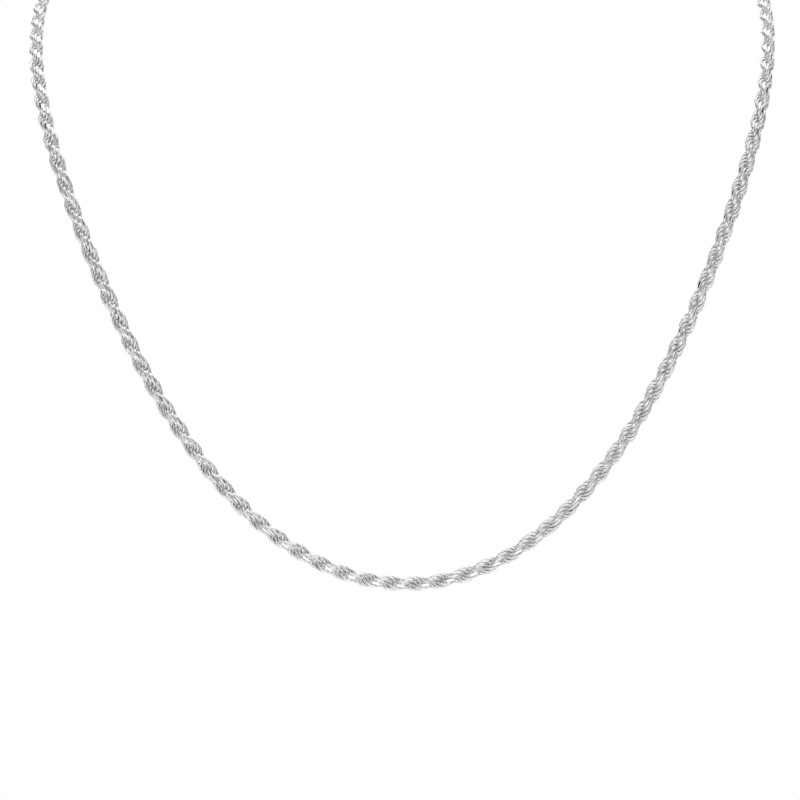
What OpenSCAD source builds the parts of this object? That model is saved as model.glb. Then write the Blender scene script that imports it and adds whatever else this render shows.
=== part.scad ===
// Twisted chain necklace: a closed loop that hangs round a neck, in millimetres.
// The origin is the middle of the fastening at the nape, +Z is up, and the loop drops
// towards the chest, which is the -Y side. +X is the right-hand side seen from the front.

/* [Rope chain] */
// Widest diameter of the twisted rope
rope_d = 2.5; // [2:0.1:3]
// Width of the hanging curve: the radius at its lowest point
curve_a = 29.9; // [27:0.1:34]
// Length of chain on each side of the lowest point that hangs freely in the front plane
front_half = 80; // [70:1:90]
// Drop from the nape to the lowest point of the chain
drop = 115; // [110:1:120]
// Distance of the front plane from the nape
reach = 81; // [78:1:90]
// How far the sides keep the front curve's direction before they turn back
front_pull = 50; // [40:1:55]
// How far the sides keep the nape's direction before they turn forward
nape_pull = 48; // [40:1:56]

/* [End caps] */
// Outer diameter of a cap
cap_d = 3.4; // [3.3:0.1:4]
// Length of a cap's straight wall, without its dome
cap_wall_length = 3.4; // [3:0.1:5]
// Depth of the hole that the rope's end sits in
cap_depth = 4; // [3.5:0.1:4.2]
// Clearance round the rope inside a cap
cap_clearance = 0.12; // [0.1:0.01:0.15]
// Angle by which each end turns forward round the neck
cap_turn = 8; // [0:1:12]

/* [Fastening] */
// Diameter of the wire of the caps' eyes
eye_wire = 0.7; // [0.6:0.05:0.8]
// Diameter of an eye, at the middle of its wire
eye_d = 2.1; // [2:0.1:2.4]
// Diameter of the wire of the small ring
link_wire = 0.7; // [0.6:0.05:0.8]
// Diameter of the small ring, at the middle of its wire
link_d = 3.3; // [3:0.1:3.6]
// Diameter of the clasp's tube
clasp_tube = 1.3; // [1.1:0.1:1.5]
// Diameter of the clasp's ring, at the middle of its tube
clasp_d = 5.8; // [5.4:0.1:6.4]
// Diameter of the wire of the ring that the clasp holds
end_wire = 0.8; // [0.7:0.05:0.9]
// Diameter of the ring that the clasp holds, at the middle of its wire
end_d = 4.2; // [4:0.1:4.6]
// Clearance between rings that hang in one another
ring_clearance = 0.15; // [0.12:0.01:0.2]

/* [Hidden] */
$fn = 64;

// The rope: sides of its outline, and rings along the front and along each side
rope_sides = 8;
front_steps = 28;
side_steps = 24;
// Normal of the sloping plane that the loop lies near; the outline's corners start from it
loop_normal = [0, 1, -1];

// How deep a soldered ring sinks into what it is soldered to
solder_depth = 0.25;

// Where each ring's middle lies, from the left cap's eye, when the fastening is pulled out
link_at = ringed(eye_d, eye_wire, link_d, link_wire);
clasp_eye_at = link_at + ringed(link_d, link_wire, eye_d, eye_wire);
clasp_at = clasp_eye_at + (eye_d + clasp_d + clasp_tube) / 2 - solder_depth;
end_at = clasp_at + ringed(clasp_d, clasp_tube, end_d, end_wire);
fastening_length = end_at + ringed(end_d, end_wire, eye_d, eye_wire);

// Along a cap, from its eye: the dome's centre, the mouth, and the rope's end
dome_at = (eye_d + cap_d) / 2;
mouth_at = dome_at + cap_wall_length;
rope_end_gap = 0.1;
rope_end_at = mouth_at - cap_depth + rope_end_gap;
// Stretch that stays straight, to just outside the mouth
straight_end_at = mouth_at + 0.3;

// Thumb knob on the clasp: its stem and its ball
knob_stem_d = 0.7;
knob_stem_length = 1.2;
knob_ball_d = 1.1;
knob_angle = 55;

function asinh(v) = ln(v + sqrt(v * v + 1));

// Distance between the middles of two rings that hang in one another, at right angles
function ringed(d1, wire1, d2, wire2) = (d1 + d2 - wire1 - wire2) / 2 - ring_clearance;

// Hanging curve at the arc length s from its lowest point
function hanging(s) =
    [curve_a * asinh(s / curve_a), -reach, sqrt(curve_a ^ 2 + s ^ 2) - curve_a - drop];

// Its direction there
function hanging_way(s) = [curve_a, 0, s] / sqrt(curve_a ^ 2 + s ^ 2);

// A point of the right cap's middle line, u outwards from its eye
function cap_line(u) =
    [fastening_length / 2 + u * cos(cap_turn), -u * sin(cap_turn), 0];

// Cubic curve through a and d that starts towards b and arrives from c
function cubic(a, b, c, d, t) =
    (1 - t) ^ 3 * a + 3 * (1 - t) ^ 2 * t * b + 3 * (1 - t) * t ^ 2 * c + t ^ 3 * d;

// The right side's turn from the front plane to the nape
function side(t) =
    cubic(
        hanging(front_half),
        hanging(front_half) + front_pull * hanging_way(front_half),
        cap_line(straight_end_at + nape_pull),
        cap_line(straight_end_at),
        t
    );

function mirrored(p) = [-p.x, p.y, p.z];

// The rope's middle line: the right half without the lowest point, then the whole loop
right_half = [
    for (i = [1:front_steps / 2]) hanging(front_half * i / (front_steps / 2)),
    for (i = [1:side_steps]) side(i / side_steps),
    cap_line(rope_end_at)
];
middle_line = [
    for (i = [len(right_half) - 1:-1:0]) mirrored(right_half[i]),
    hanging(0),
    each right_half
];
last = len(middle_line) - 1;

function unit(v) = v / norm(v);

// Corners of the rope's outline at one point of its middle line, square to the line
function outline(i) =
    let (
        way = unit(middle_line[min(i + 1, last)] - middle_line[max(i - 1, 0)]),
        across = unit(cross(way, loop_normal)),
        up = cross(way, across)
    )
    [
        for (k = [0:rope_sides - 1])
        middle_line[i] + rope_d / 2 * (cos(360 * k / rope_sides) * across
                                     + sin(360 * k / rope_sides) * up)
    ];

// Outer form of the twisted rope: one closed tube along the middle line
module rope_chain() {
    points = [for (i = [0:last]) each outline(i)];
    start_face = [for (k = [0:rope_sides - 1]) k];
    end_face = [for (k = [rope_sides - 1:-1:0]) last * rope_sides + k];
    walls = [
        for (i = [0:last - 1], k = [0:rope_sides - 1])
        let (
            a = i * rope_sides + k,
            b = i * rope_sides + (k + 1) % rope_sides
        )
        [a, a + rope_sides, b + rope_sides, b]
    ];
    color("silver") polyhedron(points = points, faces = concat([start_face, end_face], walls));
}

// A ring of round wire whose axis is Z
module ring(d, wire) {
    rotate_extrude() translate([d / 2, 0]) circle(d = wire);
}

// The same ring standing up, with its axis along Y
module upright_ring(d, wire) {
    rotate([90, 0, 0]) ring(d, wire);
}

// Cup that the rope is soldered in, with its eye, along +X from the eye's middle
module cap() {
    difference() {
        rotate([0, 90, 0]) {
            translate([0, 0, dome_at]) cylinder(d = cap_d, h = cap_wall_length);
            translate([0, 0, dome_at]) sphere(d = cap_d);
        }
        translate([mouth_at - cap_depth, 0, 0])
            rotate([0, 90, 0])
                cylinder(d = rope_d + 2 * cap_clearance, h = cap_depth + 1);
    }
    upright_ring(eye_d, eye_wire);
}

module cap_right() {
    color("silver") translate([fastening_length / 2, 0, 0]) rotate([0, 0, -cap_turn]) cap();
}

module cap_left() {
    color("silver") mirror([1, 0, 0]) translate([fastening_length / 2, 0, 0])
        rotate([0, 0, -cap_turn]) cap();
}

// Small ring between the left cap and the clasp
module clasp_link() {
    color("silver") translate([link_at - fastening_length / 2, 0, 0]) ring(link_d, link_wire);
}

// Round clasp, closed: its tube ring, its soldered eye and its thumb knob
module clasp() {
    color("silver") {
        translate([clasp_eye_at - fastening_length / 2, 0, 0]) upright_ring(eye_d, eye_wire);
        translate([clasp_at - fastening_length / 2, 0, 0]) {
            upright_ring(clasp_d, clasp_tube);
            rotate([0, knob_angle, 0]) translate([0, 0, clasp_d / 2]) {
                cylinder(d = knob_stem_d, h = knob_stem_length);
                translate([0, 0, knob_stem_length]) sphere(d = knob_ball_d);
            }
        }
    }
}

// Ring that the clasp holds, in the right cap's eye
module end_ring() {
    color("silver") translate([end_at - fastening_length / 2, 0, 0]) ring(end_d, end_wire);
}

rope_chain();
cap_left();
cap_right();
clasp_link();
clasp();
end_ring();
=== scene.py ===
"""Silver rope chain necklace: its links, its polished silver, soft light and a camera.

Lengths are metres in the frame of the solids: +Z up, -Y towards the chest, +X to the right,
and the origin at the nape.
"""

import bpy
import numpy as np
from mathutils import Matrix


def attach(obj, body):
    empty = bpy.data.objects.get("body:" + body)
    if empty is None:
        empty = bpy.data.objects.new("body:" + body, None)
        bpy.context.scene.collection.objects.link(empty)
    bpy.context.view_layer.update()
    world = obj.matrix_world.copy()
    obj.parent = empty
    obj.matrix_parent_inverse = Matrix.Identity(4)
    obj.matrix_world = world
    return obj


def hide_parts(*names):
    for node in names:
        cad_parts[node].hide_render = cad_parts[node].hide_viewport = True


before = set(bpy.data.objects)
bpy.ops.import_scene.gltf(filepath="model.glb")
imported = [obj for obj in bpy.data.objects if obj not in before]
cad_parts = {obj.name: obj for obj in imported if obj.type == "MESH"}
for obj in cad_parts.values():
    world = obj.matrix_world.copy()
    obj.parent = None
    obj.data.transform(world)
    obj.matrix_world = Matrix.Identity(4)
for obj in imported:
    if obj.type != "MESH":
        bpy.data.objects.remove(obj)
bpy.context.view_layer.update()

# Middle line of the rope, the same curves as the tube that the links replace
CURVE_A = 0.0299          # radius of the hanging curve at its lowest point
FRONT_HALF = 0.080        # chain that hangs freely on each side of the lowest point
DROP = 0.115
REACH = 0.081
FRONT_PULL = 0.050
NAPE_PULL = 0.048
FASTENING_LENGTH = 0.0141
CAP_TURN = np.radians(8)
ROPE_END_AT = 0.00225     # from a cap's eye to the rope's end
STRAIGHT_END_AT = 0.00645
LOOP_NORMAL = np.array([0, 1, -1]) / np.sqrt(2)
FRONT_POINTS = 1600       # close points along the hanging half, the side and the cap
SIDE_POINTS = 2400
CAP_POINTS = 80

# Links of the rope: oval rings of wire, each one a step round and along the rope from the last
HALF_TWIST = 0.00394      # rope length in which the pair of strands makes half a turn
WIDEST_AT = 0.00123       # a place where the strands lie above each other, from the lowest point
LINKS_PER_HALF_TWIST = 13
LINK_PHASE = -0.5         # steps from the widest place to link 0
WIRE = 0.00039            # diameter of a link's wire
LINK_RADIUS = 0.00105     # across the rope, to the middle of the wire
LINK_OVAL = 1.2           # length of a link by its width
LINK_OFFSET = 0.00013     # from the rope's axis to a link's middle
LINK_LEAN = 1.5           # angle between a link's long axis and the rope's cross section
LINK_ROLL = -0.2          # turn of a link about its long axis
LINK_STRAY = 0.05         # spread of the small turns by which links lie irregularly
CUT_DISTANCE = 0.00114    # the flats cut along the rope lie this far from its axis
CUT_FACES = 8
CUT_TURN = 0.446          # from straight ahead to the middle of a cut face, upwards
HAND = -1                 # the strands wind to the left
LINK_SIDES = 16
WIRE_CORNERS = np.radians([-150, -100, -50, 50, 100, 150])  # an open side faces outwards


def hanging(s):
    """Points of a catenary at the arc lengths s from its lowest point."""
    return np.stack([
        CURVE_A * np.arcsinh(s / CURVE_A),
        np.full_like(s, -REACH),
        np.hypot(CURVE_A, s) - CURVE_A - DROP,
    ], axis=-1)


def cap_line(u):
    """Points of the right cap's straight middle line, u outwards from its eye."""
    return np.stack([
        FASTENING_LENGTH / 2 + u * np.cos(CAP_TURN),
        -u * np.sin(CAP_TURN),
        np.zeros_like(u),
    ], axis=-1)


def side(t):
    """Cubic Bezier curve from the front plane to the nape: the binomial sum of its four points."""
    start = hanging(np.array(FRONT_HALF))
    way = np.array([CURVE_A, 0, FRONT_HALF]) / np.hypot(CURVE_A, FRONT_HALF)
    held = cap_line(np.array(STRAIGHT_END_AT + NAPE_PULL))
    end = cap_line(np.array(STRAIGHT_END_AT))
    t = t[:, None]
    return ((1 - t) ** 3 * start + 3 * (1 - t) ** 2 * t * (start + FRONT_PULL * way)
            + 3 * (1 - t) * t ** 2 * held + t ** 3 * end)


def middle_line():
    """The whole loop as close points, their arc length from the lowest point, and directions.

    The right half is the catenary, the side curve and the cap's straight line one after another.
    The left half is its mirror image.
    """
    right = np.concatenate([
        hanging(np.linspace(0, FRONT_HALF, FRONT_POINTS, endpoint=False)),
        side(np.linspace(0, 1, SIDE_POINTS, endpoint=False)),
        cap_line(np.linspace(STRAIGHT_END_AT, ROPE_END_AT, CAP_POINTS)),
    ])
    points = np.concatenate([right[:0:-1] * [-1, 1, 1], right])
    steps = np.linalg.norm(np.diff(points, axis=0), axis=1)
    arc = np.concatenate([[0], np.cumsum(steps)])
    arc -= arc[len(right) - 1]
    ways = np.gradient(points, arc, axis=0)
    return points, arc, ways / np.linalg.norm(ways, axis=1, keepdims=True)


def untwisted_frame(arc, ways):
    """Two directions square to the line at each point, which never turn about it.

    A first pair is taken from the line's direction and one fixed normal. How far that pair turns
    about the line from point to point is summed, and the pair is turned back by that sum. At the
    lowest point the first direction is +Y.
    """
    first = np.cross(ways, LOOP_NORMAL)
    first /= np.linalg.norm(first, axis=1, keepdims=True)
    second = np.cross(ways, first)
    turns = np.sum(np.diff(first, axis=0) * (second[1:] + second[:-1]) / 2, axis=1)
    turned = np.concatenate([[0], np.cumsum(turns)])
    lowest = np.searchsorted(arc, 0)
    start = np.arctan2(second[lowest, 1], first[lowest, 1])
    back = (start - turned + turned[lowest])[:, None]
    depth = np.cos(back) * first + np.sin(back) * second
    return depth, np.cross(ways, depth)


def sampled(arc, values, at):
    """The values along the line at other arc lengths, each column between its neighbours."""
    return np.stack([np.interp(at, arc, column) for column in values.T], axis=-1)


def link_corners(number, strays):
    """Corners of the links with these numbers, in the rope's own axes: depth, across and along.

    Link k is an ellipse turned by k half turns and by the twist up to its own place, a half turn
    for each half twist. Its long axis leans almost along the rope and its short one points
    outwards. The three rows of strays are added to its turn, lean and roll. Its wire is a ring of
    corners about its tangent. Corners past one of the flat cuts are moved square to it, into it.
    Returns the corners, which of them are cut, and how far each lies from the rope's axis, as a
    share of the cuts' distance.
    """
    turn = np.pi / 2 + strays[0] + HAND * np.pi * (
        number + (number + LINK_PHASE) / LINKS_PER_HALF_TWIST)
    lean = (LINK_LEAN + strays[1])[:, None]
    roll = (LINK_ROLL + strays[2])[:, None]
    zero, one = np.zeros_like(turn), np.ones_like(turn)
    out = np.stack([np.cos(turn), np.sin(turn), zero], axis=-1)
    round_way = np.stack([-np.sin(turn), np.cos(turn), zero], axis=-1)
    along = np.stack([zero, zero, one], axis=-1)
    long_axis = np.sin(lean) * along - HAND * np.cos(lean) * round_way
    flank = HAND * np.cross(out, long_axis)
    short_axis = np.cos(roll) * out + np.sin(roll) * flank
    normal = np.cross(short_axis, long_axis)[:, None, None]

    t = np.linspace(0, 2 * np.pi, LINK_SIDES, endpoint=False)[:, None]
    short_axis, long_axis = short_axis[:, None], long_axis[:, None]
    middle = LINK_OFFSET * out[:, None] + LINK_RADIUS * (
        np.cos(t) * short_axis + LINK_OVAL * np.sin(t) * long_axis)
    tangent = LINK_OVAL * np.cos(t) * long_axis - np.sin(t) * short_axis
    tangent /= np.linalg.norm(tangent, axis=-1, keepdims=True)
    outwards = np.cross(tangent, normal[:, 0])

    c = WIRE_CORNERS[:, None]
    corners = middle[:, :, None] + WIRE / 2 * (
        np.cos(c) * outwards[:, :, None] + np.sin(c) * normal)
    cut = np.zeros(corners.shape[:-1], bool)
    for facing in CUT_TURN + 2 * np.pi * np.arange(CUT_FACES) / CUT_FACES:
        square = np.array([-np.cos(facing), np.sin(facing), 0])
        past = corners @ square - CUT_DISTANCE
        corners -= np.maximum(0, past)[..., None] * square
        cut |= past > 0
    share = np.linalg.norm(corners[..., :2], axis=-1) / CUT_DISTANCE
    return corners, cut, np.minimum(1, share)


def rope_links(name, first):
    """Every second link of the rope, from the given one on, as one mesh.

    Each link is carried rigidly to its place on the middle line, with its depth, across and along
    axes turned to the line's own. A link's stray is the sum of three seeded normal draws, two of
    them shared with each neighbour in its strand, so that neighbours lie alike.
    """
    points, arc, ways = middle_line()
    depth, across = untwisted_frame(arc, ways)
    spacing = HALF_TWIST / LINKS_PER_HALF_TWIST
    reach = LINK_RADIUS * LINK_OVAL + WIRE / 2
    first_number = np.ceil((arc[0] + reach - WIDEST_AT) / spacing - LINK_PHASE)
    last_number = np.floor((arc[-1] - reach - WIDEST_AT) / spacing - LINK_PHASE)
    number = np.arange(first_number, last_number + 1)
    number = number[number % 2 == first]
    at = WIDEST_AT + (number + LINK_PHASE) * spacing
    axes = [sampled(arc, way, at)[:, None, None] for way in (depth, across, ways)]
    draws = np.random.default_rng(first).standard_normal((3, len(number) + 2))
    strays = LINK_STRAY / np.sqrt(3) * (draws[:, :-2] + draws[:, 1:-1] + draws[:, 2:])
    local, cut, share = link_corners(number, strays)
    places = sampled(arc, points, at)[:, None, None] + sum(
        local[..., i:i + 1] * axes[i] for i in range(3))

    sides, corners = LINK_SIDES, len(WIRE_CORNERS)
    i, j = np.meshgrid(np.arange(sides), np.arange(corners), indexing="ij")
    i2, j2 = (i + 1) % sides, (j + 1) % corners
    quads = np.stack([i * corners + j, i2 * corners + j, i2 * corners + j2, i * corners + j2], -1)
    starts = np.arange(len(number)) * sides * corners
    quads = (starts[:, None, None] + quads.reshape(-1, 4)).reshape(-1, 4)

    mesh = bpy.data.meshes.new(name)
    mesh.from_pydata(places.reshape(-1, 3), [], quads)
    mesh.attributes.new("axis_share", "FLOAT", "POINT").data.foreach_set("value", share.ravel())
    mesh.shade_smooth()
    flat = cut.ravel()[quads].all(axis=1)
    mesh.attributes.new("sharp_face", "BOOLEAN", "FACE").data.foreach_set("value", flat)
    link = bpy.data.objects.new(name, mesh)
    bpy.context.collection.objects.link(link)
    return link


def node(tree, kind, inputs=None, **settings):
    """A new node of that kind, with its settings and the plain values of its inputs."""
    made = tree.nodes.new(kind)
    for setting, value in settings.items():
        setattr(made, setting, value)
    for socket, value in (inputs or {}).items():
        made.inputs[socket].default_value = value
    return made


CLEAN_SILVER = (0.96, 0.96, 0.96, 1)
# Dark silver mixed into the colour: painted shade deep between the rope's links, tarnish in spots
# on the fastening
SHADE_AND_TARNISH_SILVER = (0.30, 0.30, 0.31, 1)


def worn_silver_and_painted_shade():
    """Shared pattern of polished and worn silver, with painted shade and tarnish in its colour, as
    a group of nodes.

    Broad smudges and fine grain are added to the polish as roughness. The mask input, 0 on open
    faces and 1 deep between them or in tarnished spots, darkens the colour: painted shade deep
    between the rope's links, tarnish in the fastening's spots. Hairlines, a grain drawn out in
    one direction, and the fine grain make the height.
    """
    group = bpy.data.node_groups.new("worn_silver_and_painted_shade", "ShaderNodeTree")
    for name, value in (("Painted Shade And Tarnish", 0.0), ("Darkening", 0.5), ("Polish", 0.1), ("Haze", 0.1),
                        ("Smudge Scale", 200.0), ("Grain Scale", 5000.0)):
        socket = group.interface.new_socket(name, in_out="INPUT", socket_type="NodeSocketFloat")
        socket.default_value = value
    for name, kind in (("Color", "NodeSocketColor"), ("Roughness", "NodeSocketFloat"),
                       ("Height", "NodeSocketFloat")):
        group.interface.new_socket(name, in_out="OUTPUT", socket_type=kind)
    link = group.links.new
    given = node(group, "NodeGroupInput").outputs
    made = node(group, "NodeGroupOutput").inputs
    place = node(group, "ShaderNodeTexCoord").outputs["Object"]

    smudge = node(group, "ShaderNodeTexNoise", {"Detail": 3.0, "Roughness": 0.6})
    link(place, smudge.inputs["Vector"])
    link(given["Smudge Scale"], smudge.inputs["Scale"])
    grain = node(group, "ShaderNodeTexNoise", {"Detail": 2.0, "Roughness": 0.5})
    link(place, grain.inputs["Vector"])
    link(given["Grain Scale"], grain.inputs["Scale"])
    drawn_out = node(group, "ShaderNodeMapping", {"Rotation": (0.4, 0.2, 0.7),
                                                  "Scale": (1.0, 1.0, 0.06)})
    link(place, drawn_out.inputs["Vector"])
    hairlines = node(group, "ShaderNodeTexNoise", {"Detail": 4.0, "Roughness": 0.7})
    link(drawn_out.outputs["Vector"], hairlines.inputs["Vector"])
    link(given["Grain Scale"], hairlines.inputs["Scale"])

    def math(operation, *values):
        """The result of a Math node on sockets or plain numbers."""
        step = node(group, "ShaderNodeMath", operation=operation)
        for socket, value in zip(step.inputs, values):
            if isinstance(value, float):
                socket.default_value = value
            else:
                link(value, socket)
        return step.outputs[0]

    wear = math("MULTIPLY_ADD", grain.outputs[0], 0.4, math("MULTIPLY", smudge.outputs[0], 0.6))
    haze = math("MULTIPLY_ADD", wear, given["Haze"], given["Polish"])
    link(math("MULTIPLY_ADD", given["Painted Shade And Tarnish"], 0.15, haze), made["Roughness"])
    patchy = math("MULTIPLY_ADD", smudge.outputs[0], 0.8, 0.6)
    # Painted shade deep between the rope's links; on the fastening, tarnish in spots
    dark = math("MULTIPLY", math("MULTIPLY", given["Painted Shade And Tarnish"], patchy), given["Darkening"])
    colour = node(group, "ShaderNodeMix", {6: CLEAN_SILVER, 7: SHADE_AND_TARNISH_SILVER},
                  data_type="RGBA")
    link(dark, colour.inputs[0])
    link(colour.outputs[2], made["Color"])
    link(math("MULTIPLY_ADD", hairlines.outputs[0], 0.7, math("MULTIPLY", grain.outputs[0], 0.3)),
         made["Height"])
    return group


def silver_material(name, group, values, relief):
    """A silver with the shared pattern's values, its bumps as high as the relief in metres."""
    material = bpy.data.materials.new(name)
    material.use_nodes = True
    tree = material.node_tree
    shader = tree.nodes["Principled BSDF"]
    shader.inputs["Metallic"].default_value = 1
    pattern = node(tree, "ShaderNodeGroup", node_tree=group)
    for socket, value in values.items():
        pattern.inputs[socket].default_value = value
    bump = node(tree, "ShaderNodeBump", {"Strength": 1.0, "Distance": relief})
    tree.links.new(pattern.outputs["Color"], shader.inputs["Base Color"])
    tree.links.new(pattern.outputs["Roughness"], shader.inputs["Roughness"])
    tree.links.new(pattern.outputs["Height"], bump.inputs["Height"])
    tree.links.new(bump.outputs["Normal"], shader.inputs["Normal"])
    return material, pattern.inputs["Painted Shade And Tarnish"]


def silver_materials():
    """The rope's silver, with painted shade deep between the links, and the fastening's, tarnished
    in spots.
    """
    group = worn_silver_and_painted_shade()
    rope, shade_and_tarnish_input = silver_material("rope_silver", group, {
        "Darkening": 0.05, "Polish": 0.13, "Haze": 0.12, "Smudge Scale": 180.0,
        "Grain Scale": 6000.0}, 0.000004)
    tree = rope.node_tree
    # Painted shade: the nearer a point lies to the rope's axis, deep between the links, the more
    # its colour is mixed towards dark silver
    share = node(tree, "ShaderNodeAttribute", attribute_name="axis_share")
    depth = node(tree, "ShaderNodeMapRange", {"From Min": 0.8, "From Max": 0.35},
                 interpolation_type="SMOOTHSTEP")
    tree.links.new(share.outputs["Fac"], depth.inputs["Value"])
    tree.links.new(depth.outputs["Result"], shade_and_tarnish_input)

    fastening, shade_and_tarnish_input = silver_material("fastening_silver", group, {
        "Darkening": 0.5, "Polish": 0.09, "Haze": 0.16, "Smudge Scale": 260.0,
        "Grain Scale": 3500.0}, 0.000008)
    tree = fastening.node_tree
    spots = node(tree, "ShaderNodeTexNoise", {"Scale": 420.0, "Detail": 4.0, "Roughness": 0.65})
    tree.links.new(node(tree, "ShaderNodeTexCoord").outputs["Object"], spots.inputs["Vector"])
    edge = node(tree, "ShaderNodeMapRange", {"From Min": 0.38, "From Max": 0.74},
                interpolation_type="SMOOTHSTEP")
    tree.links.new(spots.outputs[0], edge.inputs["Value"])
    tree.links.new(edge.outputs["Result"], shade_and_tarnish_input)
    return rope, fastening


LIGHT_BOUNCES = 24        # light is thrown to and fro many times between polished links

# The studio as the silver sees it: a level of white all round, and soft round zones that are
# brighter or darker. Azimuth is from the camera's side towards +X, elevation from the horizon,
# both in degrees; reach is the radius in degrees within which the zone fades to nothing.
STUDIO_LEVEL = 0.70
STUDIO_ZONES = [
    # name, azimuth, elevation, reach, change of level
    ("overhead_softbox", 0, 90, 55, 0.60),
    ("underneath", 0, -90, 50, 0.40),
    ("backdrop", 180, 0, 48, 0.60),
    ("front_below_camera", 0, -36, 33, 0.75),
    ("front_level", 0, 4, 21, 0.50),
    ("front_above_camera", 0, 34, 24, -0.20),
    ("gap_right_of_camera", 34, 8, 24, -0.55),
    ("gap_left_of_camera", -34, 8, 24, -0.55),
    ("right_of_camera", 62, -8, 24, 0.35),
    ("left_of_camera", -62, -8, 24, 0.35),
    ("dim_right_side", 85, 22, 40, -0.70),
    ("dim_left_side", -85, 22, 40, -0.70),
    ("low_right_side", 95, -25, 30, -0.35),
    ("low_left_side", -95, -25, 30, -0.35),
]


def world_light():
    """White for the camera; for everything else the studio's level and zones, added up.

    A zone is a smooth step of the cosine between the ray and the zone's direction.
    """
    world = bpy.data.worlds.new("studio")
    bpy.context.scene.world = world
    world.use_nodes = True
    tree = world.node_tree
    tree.nodes.clear()
    link = tree.links.new
    ray = node(tree, "ShaderNodeTexCoord").outputs["Generated"]
    total = None
    for name, azimuth, elevation, reach, change in STUDIO_ZONES:
        azimuth, elevation, reach = np.radians((azimuth, elevation, reach))
        way = (np.sin(azimuth) * np.cos(elevation), -np.cos(azimuth) * np.cos(elevation),
               np.sin(elevation))
        facing = node(tree, "ShaderNodeVectorMath", {1: way}, operation="DOT_PRODUCT")
        zone = node(tree, "ShaderNodeMapRange", {"From Min": np.cos(reach), "From Max": 1.0,
                                                 "To Max": change},
                    interpolation_type="SMOOTHERSTEP", name=name, label=name)
        sum_so_far = node(tree, "ShaderNodeMath", {0: STUDIO_LEVEL}, operation="ADD")
        link(ray, facing.inputs[0])
        link(facing.outputs["Value"], zone.inputs["Value"])
        link(zone.outputs["Result"], sum_so_far.inputs[1])
        if total:
            link(total, sum_so_far.inputs[0])
        total = sum_so_far.outputs[0]
    seen = node(tree, "ShaderNodeBackground", {"Color": (1, 1, 1, 1), "Strength": 1.0})
    lit = node(tree, "ShaderNodeBackground", {"Color": (1, 1, 1, 1)})
    link(total, lit.inputs["Strength"])
    path = node(tree, "ShaderNodeLightPath")
    mix = node(tree, "ShaderNodeMixShader")
    out = node(tree, "ShaderNodeOutputWorld")
    link(path.outputs["Is Camera Ray"], mix.inputs[0])
    link(lit.outputs[0], mix.inputs[1])
    link(seen.outputs[0], mix.inputs[2])
    link(mix.outputs[0], out.inputs[0])


CAMERA_SENSOR = 36        # millimetres, as the lens
CAMERA_LENS = 225
CAMERA_SEES_TO = 20       # metres from the camera, past the floor's far rim
CAMERA_PLACE = (-0.00109, -0.881, -0.0856)
CAMERA_ROLL = 0.0129      # the necklace hangs askew by this angle in the picture


def camera():
    """A long lens level with the hanging curve, straight in front of it."""
    lens = bpy.data.cameras.new("camera")
    lens.sensor_width = CAMERA_SENSOR
    lens.lens = CAMERA_LENS
    lens.clip_end = CAMERA_SEES_TO
    view = bpy.data.objects.new("camera", lens)
    bpy.context.collection.objects.link(view)
    view.location = CAMERA_PLACE
    view.rotation_euler = (np.pi / 2, CAMERA_ROLL, 0)
    bpy.context.scene.camera = view


FLOOR_RADIUS = 0.5
FLOOR_HEIGHT = -0.6
FLOOR_SIDES = 96
FLOOR_COLOUR = (0.9, 0.9, 0.9, 1)


def floor():
    """A round pale floor under the necklace."""
    turn = np.linspace(0, 2 * np.pi, FLOOR_SIDES, endpoint=False)
    rim = np.stack([FLOOR_RADIUS * np.cos(turn), FLOOR_RADIUS * np.sin(turn),
                    np.full_like(turn, FLOOR_HEIGHT)], axis=-1)
    mesh = bpy.data.meshes.new("floor")
    mesh.from_pydata(rim, [], [list(range(len(rim)))])
    disc = bpy.data.objects.new("floor", mesh)
    bpy.context.collection.objects.link(disc)
    material = bpy.data.materials.new("floor")
    material.use_nodes = True
    shader = material.node_tree.nodes["Principled BSDF"]
    shader.inputs["Base Color"].default_value = FLOOR_COLOUR
    shader.inputs["Roughness"].default_value = 0.8
    mesh.materials.append(material)


rope_silver, fastening_silver = silver_materials()
for strand in (rope_links("rope_strand_a", 0), rope_links("rope_strand_b", 1)):
    strand.data.materials.append(rope_silver)
    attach(strand, "root")
    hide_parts("rope_chain")
for solid_name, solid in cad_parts.items():
    if solid_name != "rope_chain":
        for slot in solid.material_slots:
            slot.material = fastening_silver

world_light()
floor()
camera()
bpy.context.scene.view_settings.view_transform = "Standard"
bpy.context.scene.cycles.max_bounces = LIGHT_BOUNCES
bpy.context.scene.cycles.glossy_bounces = LIGHT_BOUNCES
